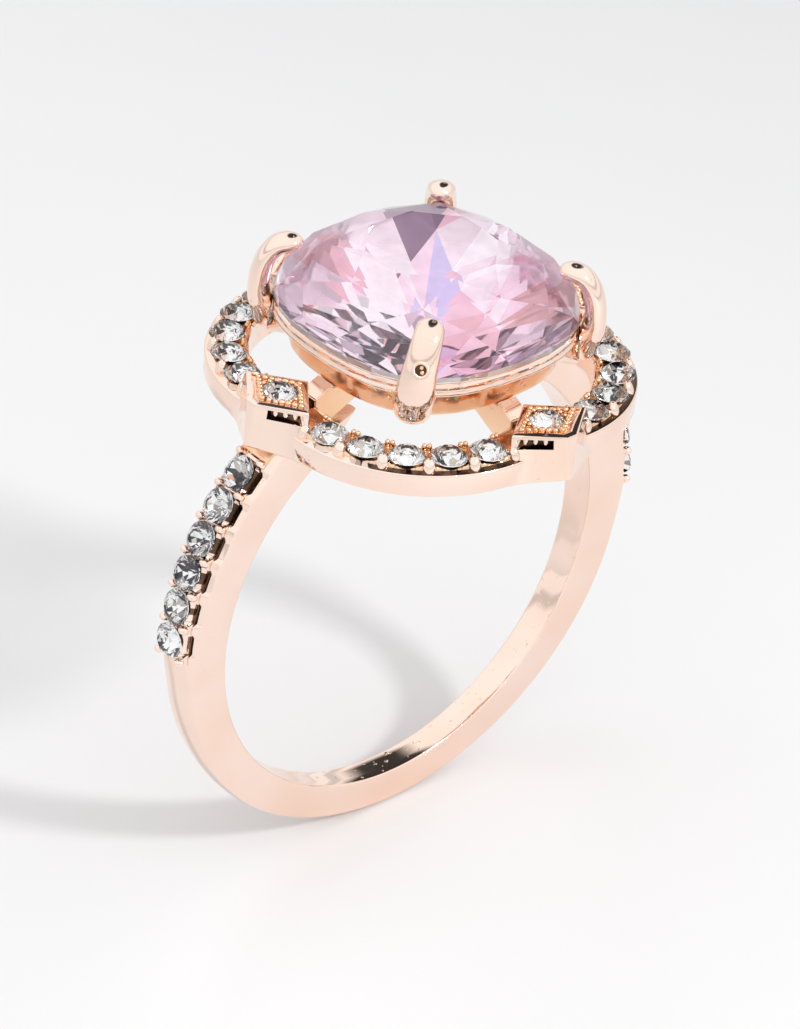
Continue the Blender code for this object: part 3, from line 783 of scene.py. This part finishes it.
def build_panel(name, side):
    shape = bmesh.new()
    way = RECESS_SIDE[name]
    rings = []
    for z, grow, cut in PANEL_LEVELS:
        share = (z - HALO_BOTTOM) / (PANEL_TOP_Z - HALO_BOTTOM)
        outline = panel_outline(share, grow, cut * RECESS_DEPTH * way)
        rings.append([(r, t, z) for r, t in outline])
    lip = rings[-2]
    for radius, z in PANEL_SEAT:
        ring = []
        for r, t, _ in lip:
            away = Vector((r - PANEL_STONE_OUT, t)).normalized() * radius
            ring.append((PANEL_STONE_OUT + away.x, away.y, z))
        rings.append(ring)
    skin(shape, rings)
    shade_recess(shape, way)
    luck = random.Random(side)
    for k in range(SEAT_BEADS):
        angle = math.tau * k / SEAT_BEADS
        x, y = SEAT_BEAD_ARC * math.cos(angle), SEAT_BEAD_ARC * math.sin(angle)
        size = luck.uniform(*SEAT_BEAD_SIZE)
        spot = Matrix.Translation((PANEL_STONE_OUT + x, y, PANEL_TOP_Z - SEAT_BEAD_DROP))
        bead(shape, spot, (size, size, size * SEAT_BEAD_STRETCH), ROUGH)
    corners = [Vector(corner) for corner in GRAIN_CORNERS]
    for start, end in zip(corners, corners[1:] + corners[:1]):
        total = round((end - start).length / GRAIN_PITCH)
        for k in range(total):
            r, t = start.lerp(end, k / total)
            size = GRAIN * luck.uniform(*GRAIN_SPREAD)
            bead(shape, Matrix.Translation((r, t, PANEL_TOP_Z - GRAIN_DROP)), (size, size, size), ROUGH)
    for k in range(TEETH):
        t = TOOTH_START + TOOTH_PITCH * k
        spot = (panel_edge(t) - TOOTH_SIZE[0], way * t, RECESS_HIGH - TOOTH_DROP)
        bead(shape, Matrix.Translation(spot), TOOTH_SIZE)
    bmesh.ops.transform(shape, matrix=turn(side), verts=shape.verts)
    new_piece("panel_" + name, shape, METALS, ["halo_panel_" + name])


def build_bridge(name, side):
    shape = bmesh.new()
    skin(shape, [[(r, t, z) for r, z in BRIDGE_SIDE] for t in (-BRIDGE_HALF_WIDTH, BRIDGE_HALF_WIDTH)])
    bmesh.ops.bevel(shape, geom=shape.edges[:], offset=BRIDGE_ROUND, segments=3, affect="EDGES")
    for face in shape.faces:
        face.material_index = BRIGHT if face.normal.z > BRIDGE_TOP else ROUGH
    bmesh.ops.transform(shape, matrix=turn(side), verts=shape.verts)
    new_piece("bridge_arm_" + name, shape, METALS, ["bridge_" + name])


# ---------------------------------------------------------------- seat and claws

def arc(centre, radius, first, last, count):
    points = []
    for i in range(count + 1):
        angle = math.radians(first + (last - first) * i / count)
        points.append((centre[0] + radius * math.cos(angle), centre[1] + radius * math.sin(angle)))
    return points


def seat_ring(name, section, material, replaced, lump):
    """Sweep a closed section of (half-width, height) points round the cushion outline."""
    shape = bmesh.new()
    rings = []
    for i in range(SEAT_POINTS):
        angle = math.tau * i / SEAT_POINTS
        ring = []
        for width, height in section:
            wave = noise.noise(cushion_point(width, angle, height) * LUMP_SCALE) * lump
            ring.append(cushion_point(width + wave, angle, height + wave * 0.5))
        rings.append(ring)
    skin(shape, rings, closed=True)
    new_piece(name, shape, [material], [replaced])


def build_seat():
    rail = arc(RAIL_CENTRE, RAIL_ROUND, *RAIL_ARC, RAIL_STEPS) + list(RAIL_TOP)
    seat_ring("bearing_rail", rail, POLISHED, "seat_rail", RAIL_LUMP)
    seat_ring("gallery", GALLERY_SECTION, CAST, "gallery_wall", GALLERY_LUMP)


def claw_rings(lean):
    """Round sections up a claw that lies on +X, whose tip leans sideways by a distance."""
    rows = finer(CLAW_RINGS, CLAW_FINE)
    top = max(row[1] for row in rows)
    foot = rows[0][1]
    rings = []
    for i, (reach, height, wide, deep) in enumerate(rows):
        before = Vector(rows[max(i - 1, 0)][:2])
        after = Vector(rows[min(i + 1, len(rows) - 1)][:2])
        along = (after - before).normalized()
        across = Vector((along.y, -along.x))
        shift = lean * ((height - foot) / (top - foot)) ** 2
        ring = []
        for k in range(CLAW_SIDES):
            angle = math.tau * k / CLAW_SIDES
            out = across * deep * math.cos(angle)
            ring.append((reach + out.x, wide * math.sin(angle) + shift, height + out.y))
        rings.append(ring)
    return rings


def add_pit(shape):
    """The casting flaw: a flat bead painted dark as the shade of a hollow, with a beaded rim and two grains
    in it.
    """
    pit = Matrix.Translation(PIT_PLACE) @ Matrix.Rotation(math.radians(PIT_TILT), 4, "Y")
    bead(shape, pit, PIT_SIZE, PAINTED_SHADE_AND_TARNISH)
    for k in range(PIT_BEADS):
        angle = math.tau * k / PIT_BEADS
        spot = pit @ Vector((PIT_RING * math.cos(angle), PIT_RING * math.sin(angle), 0.0))
        bead(shape, Matrix.Translation(spot), (PIT_BEAD, PIT_BEAD, PIT_BEAD))
    out, up = PIT_GRAIN_PLACE
    for angle in PIT_GRAIN_ANGLES:
        spot = pit @ Vector((out * math.cos(angle), out * math.sin(angle), up))
        bead(shape, Matrix.Translation(spot), (PIT_GRAIN, PIT_GRAIN, PIT_GRAIN), ROUGH)


def lug_rings():
    """Sections along the lug: flat on top and round below, drawn in at the outer face."""
    rings = []
    for radius, inset in LUG_RINGS:
        wide, low = LUG_HALF_WIDTH - inset, LUG_DROP - inset
        outline = [(wide, LUG_TOP), (-wide, LUG_TOP)]
        for k in range(LUG_STEPS + 1):
            angle = math.radians(180.0 + 180.0 * k / LUG_STEPS)
            outline.append((wide * math.cos(angle), LUG_MIDDLE + low * math.sin(angle)))
        rings.append([(radius, t, z) for t, z in outline])
    return rings


def build_claw(corner, diagonal):
    shape = bmesh.new()
    flawed = corner == "front_left"
    skin(shape, claw_rings(FRONT_CLAW_LEAN if flawed else 0.0))
    if flawed:
        add_pit(shape)
    for t, z in FOOT_BEADS:
        bead(shape, Matrix.Translation((FOOT_BEAD_REACH, t, z)), FOOT_BEAD_SIZE, ROUGH)
    skin(shape, lug_rings())
    bmesh.ops.transform(shape, matrix=turn(diagonal), verts=shape.verts)
    for vert in shape.verts:
        x, y, z = vert.co
        width = (abs(x) ** CUSHION_POWER + abs(y) ** CUSHION_POWER) ** (1.0 / CUSHION_POWER)
        clear = between(SEAT_CLEARANCE, z)
        if width < clear and z < SEAT_CLEARANCE[-1][1]:
            vert.co.x *= clear / width
            vert.co.y *= clear / width
    new_piece("claw_arm_" + corner, shape, METALS, ["claw_" + corner])


# ---------------------------------------------------------------- stones

def facet_points(rings):
    points = []
    for half_width, height, count, shift in rings:
        points += [cushion_point(half_width, math.tau * (i + shift) / count, height) for i in range(count)]
    return points


def build_centre_stone():
    luck = random.Random(STONE_SEED)
    pavilion = facet_points(PAVILION_RINGS[:1])
    for point in facet_points(PAVILION_RINGS[1:]):
        x = luck.uniform(-PAVILION_JITTER, PAVILION_JITTER)
        y = luck.uniform(-PAVILION_JITTER, PAVILION_JITTER)
        pavilion.append(point + Vector((x, y, luck.uniform(-PAVILION_DROP, 0.0))))
    shape = hull(facet_points(CROWN_RINGS) + pavilion + [Vector(CULET)])
    for face in shape.faces:
        middle = face.calc_center_median()
        if face.normal.z < FOIL_NORMAL:
            face.material_index = FOIL
            # Facets under a spot take its foil: painted reflections
            for x, y, reach, tone in PAINTED_REFLECTIONS:
                if math.hypot(middle.x - x, middle.y - y) < reach:
                    face.material_index = tone
        elif middle.z < BAND_TOP:
            face.material_index = BAND
    materials = [PINK, PINK_FOIL, FOIL_BAND, WHITE_FOIL, MAUVE_FOIL, LILAC_FOIL, SALMON_FOIL]
    new_piece("cushion_stone", shape, materials, ["centre_stone"], sharp=None)


def build_brilliant(name, node, radius, place, seed):
    """A small foiled brilliant: table, stars and kites over a 16-sided girdle and a two-tier pavilion."""
    points = []
    for reach, height, count, shift in BRILLIANT_RINGS:
        angles = [math.tau * (i + shift) / count for i in range(count)]
        points += [Vector((reach * math.cos(angle), reach * math.sin(angle), height)) for angle in angles]
    points.append(Vector((0.0, 0.0, BRILLIANT_CULET)))
    shape = hull([point * radius for point in points])
    for face in shape.faces:
        if face.normal.z < BRILLIANT_FOIL_NORMAL:
            face.material_index = FOIL
    luck = random.Random(seed)
    tilt = Matrix.Rotation(math.radians(luck.uniform(-BRILLIANT_TILT, BRILLIANT_TILT)), 4, "X")
    tilt @= Matrix.Rotation(math.radians(luck.uniform(-BRILLIANT_TILT, BRILLIANT_TILT)), 4, "Y")
    tilt @= turn(luck.uniform(0.0, 45.0))
    bmesh.ops.transform(shape, matrix=place @ tilt, verts=shape.verts)
    new_piece(name, shape, [CLEAR, CLEAR_FOIL], [node], sharp=None)


def build_small_stones():
    stones = []
    for corner, diagonal in DIAGONALS.items():
        for i in range(LOBE_STONES):
            label = "%s_%d" % (corner, i + 1)
            place = turn(diagonal) @ lobe_frame(i - LOBE_LAST, LOBE_STONE_ARC, LOBE_GIRDLE)
            stones.append(("halo_crystal_" + label, "lobe_stone_" + label, SMALL_STONE_RADIUS, place))
    for name, side in SIDES.items():
        place = turn(side) @ Matrix.Translation((PANEL_STONE_OUT, 0.0, PANEL_GIRDLE))
        stones.append(("panel_crystal_" + name, "panel_stone_" + name, PANEL_STONE_RADIUS, place))
    for side in ("left", "right"):
        for i in range(SHOULDER_STONES):
            label = "%s_%d" % (side, i + 1)
            place = shoulder_frame(side, i, SHOULDER_GIRDLE)
            stones.append(("shoulder_crystal_" + label, "shoulder_stone_" + label, SMALL_STONE_RADIUS, place))
    for count, (name, node, radius, place) in enumerate(stones, 1):
        build_brilliant(name, node, radius, place, BRILLIANT_SEED + count)


# ---------------------------------------------------------------- studio

def build_camera():
    azimuth, elevation = math.radians(CAMERA_AZIMUTH), math.radians(CAMERA_ELEVATION)
    level = math.cos(elevation)
    back = Vector((math.sin(azimuth) * level, -math.cos(azimuth) * level, math.sin(elevation)))
    right = Vector((math.cos(azimuth), math.sin(azimuth), 0.0))
    up = back.cross(right)
    basis = Matrix((right, up, back)).transposed() @ Matrix.Rotation(math.radians(CAMERA_ROLL), 3, "Z")
    data = bpy.data.cameras.new("camera")
    data.lens = LENS
    data.sensor_width = SENSOR
    data.shift_x, data.shift_y = SHIFT
    data.clip_start = 0.001
    data.clip_end = 10.0
    camera = bpy.data.objects.new("camera", data)
    camera.matrix_world = Matrix.Translation(back * CAMERA_DISTANCE * MM) @ basis.to_4x4()
    bpy.context.scene.collection.objects.link(camera)
    bpy.context.scene.camera = camera


def build_floor():
    """Pale paper, with painted shade that darkens it a little towards +X."""
    shape = bmesh.new()
    bmesh.ops.create_grid(shape, x_segments=1, y_segments=1, size=FLOOR_SIZE * MM / 2.0)
    mesh = bpy.data.meshes.new("floor")
    shape.to_mesh(mesh)
    shape.free()
    material, tree, shader, where = new_material("paper")
    spot = where.outputs["Object"]
    color = add_ramp(tree, add_noise(tree, spot, FIBRE_SCALE, 2.0), FLOOR_PAPER)
    split = add_node(tree, "SeparateXYZ", {"Vector": spot})
    painted_falloff = add_ramp(tree, split.outputs["X"], FLOOR_PAINTED_FALLOFF)
    tree.links.new(add_product(tree, color, painted_falloff), shader.inputs["Base Color"])
    shader.inputs["Roughness"].default_value = 0.9
    shader.inputs["Specular IOR Level"].default_value = 0.1
    mesh.materials.append(material)
    floor = bpy.data.objects.new("floor", mesh)
    floor.location.z = FLOOR_Z * MM
    bpy.context.scene.collection.objects.link(floor)


def build_world():
    """A white tent with a grey gap above the table's edge and one dark card up behind the ring."""
    world = bpy.data.worlds.new("studio")
    bpy.context.scene.world = world
    world.use_nodes = True
    tree = world.node_tree
    toward = add_node(tree, "TexCoord").outputs["Generated"]
    split = add_node(tree, "SeparateXYZ", {"Vector": toward})
    bands = add_ramp(tree, split.outputs["Z"], SKY_BANDS)
    aside = Vector((-DARK_CARD.y, DARK_CARD.x, 0.0)).normalized()
    above = DARK_CARD.cross(aside)
    across = add_node(tree, "VectorMath", {0: toward, 1: aside / CARD_HALF_WIDTH}, operation="DOT_PRODUCT")
    along = add_node(tree, "VectorMath", {0: toward, 1: above / CARD_HALF_HEIGHT}, operation="DOT_PRODUCT")
    spread = add_node(tree, "CombineXYZ", {"X": across.outputs["Value"], "Y": along.outputs["Value"]})
    away = add_node(tree, "VectorMath", {0: spread.outputs["Vector"]}, operation="LENGTH")
    card = add_ramp(tree, away.outputs["Value"], CARD_EDGE)
    sky = tree.nodes["Background"]
    tree.links.new(add_product(tree, bands, card), sky.inputs["Color"])
    sky.inputs["Strength"].default_value = SKY_STRENGTH


def build_lights():
    data = bpy.data.lights.new("key", "AREA")
    data.shape = "DISK"
    data.size = KEY_SIZE
    data.energy = KEY_POWER
    key = bpy.data.objects.new("key", data)
    key.location = KEY_TOWARD * KEY_DISTANCE
    key.rotation_euler = KEY_TOWARD.to_track_quat("Z", "Y").to_euler()
    bpy.context.scene.collection.objects.link(key)
    bpy.context.scene.view_settings.view_transform = "Standard"


def main():
    build_camera()
    build_floor()
    build_world()
    build_lights()
    build_shank()
    for corner, diagonal in DIAGONALS.items():
        build_lobe(corner, diagonal)
        build_claw(corner, diagonal)
    for name, side in SIDES.items():
        build_panel(name, side)
        build_bridge(name, side)
    build_seat()
    build_centre_stone()
    build_small_stones()


main()
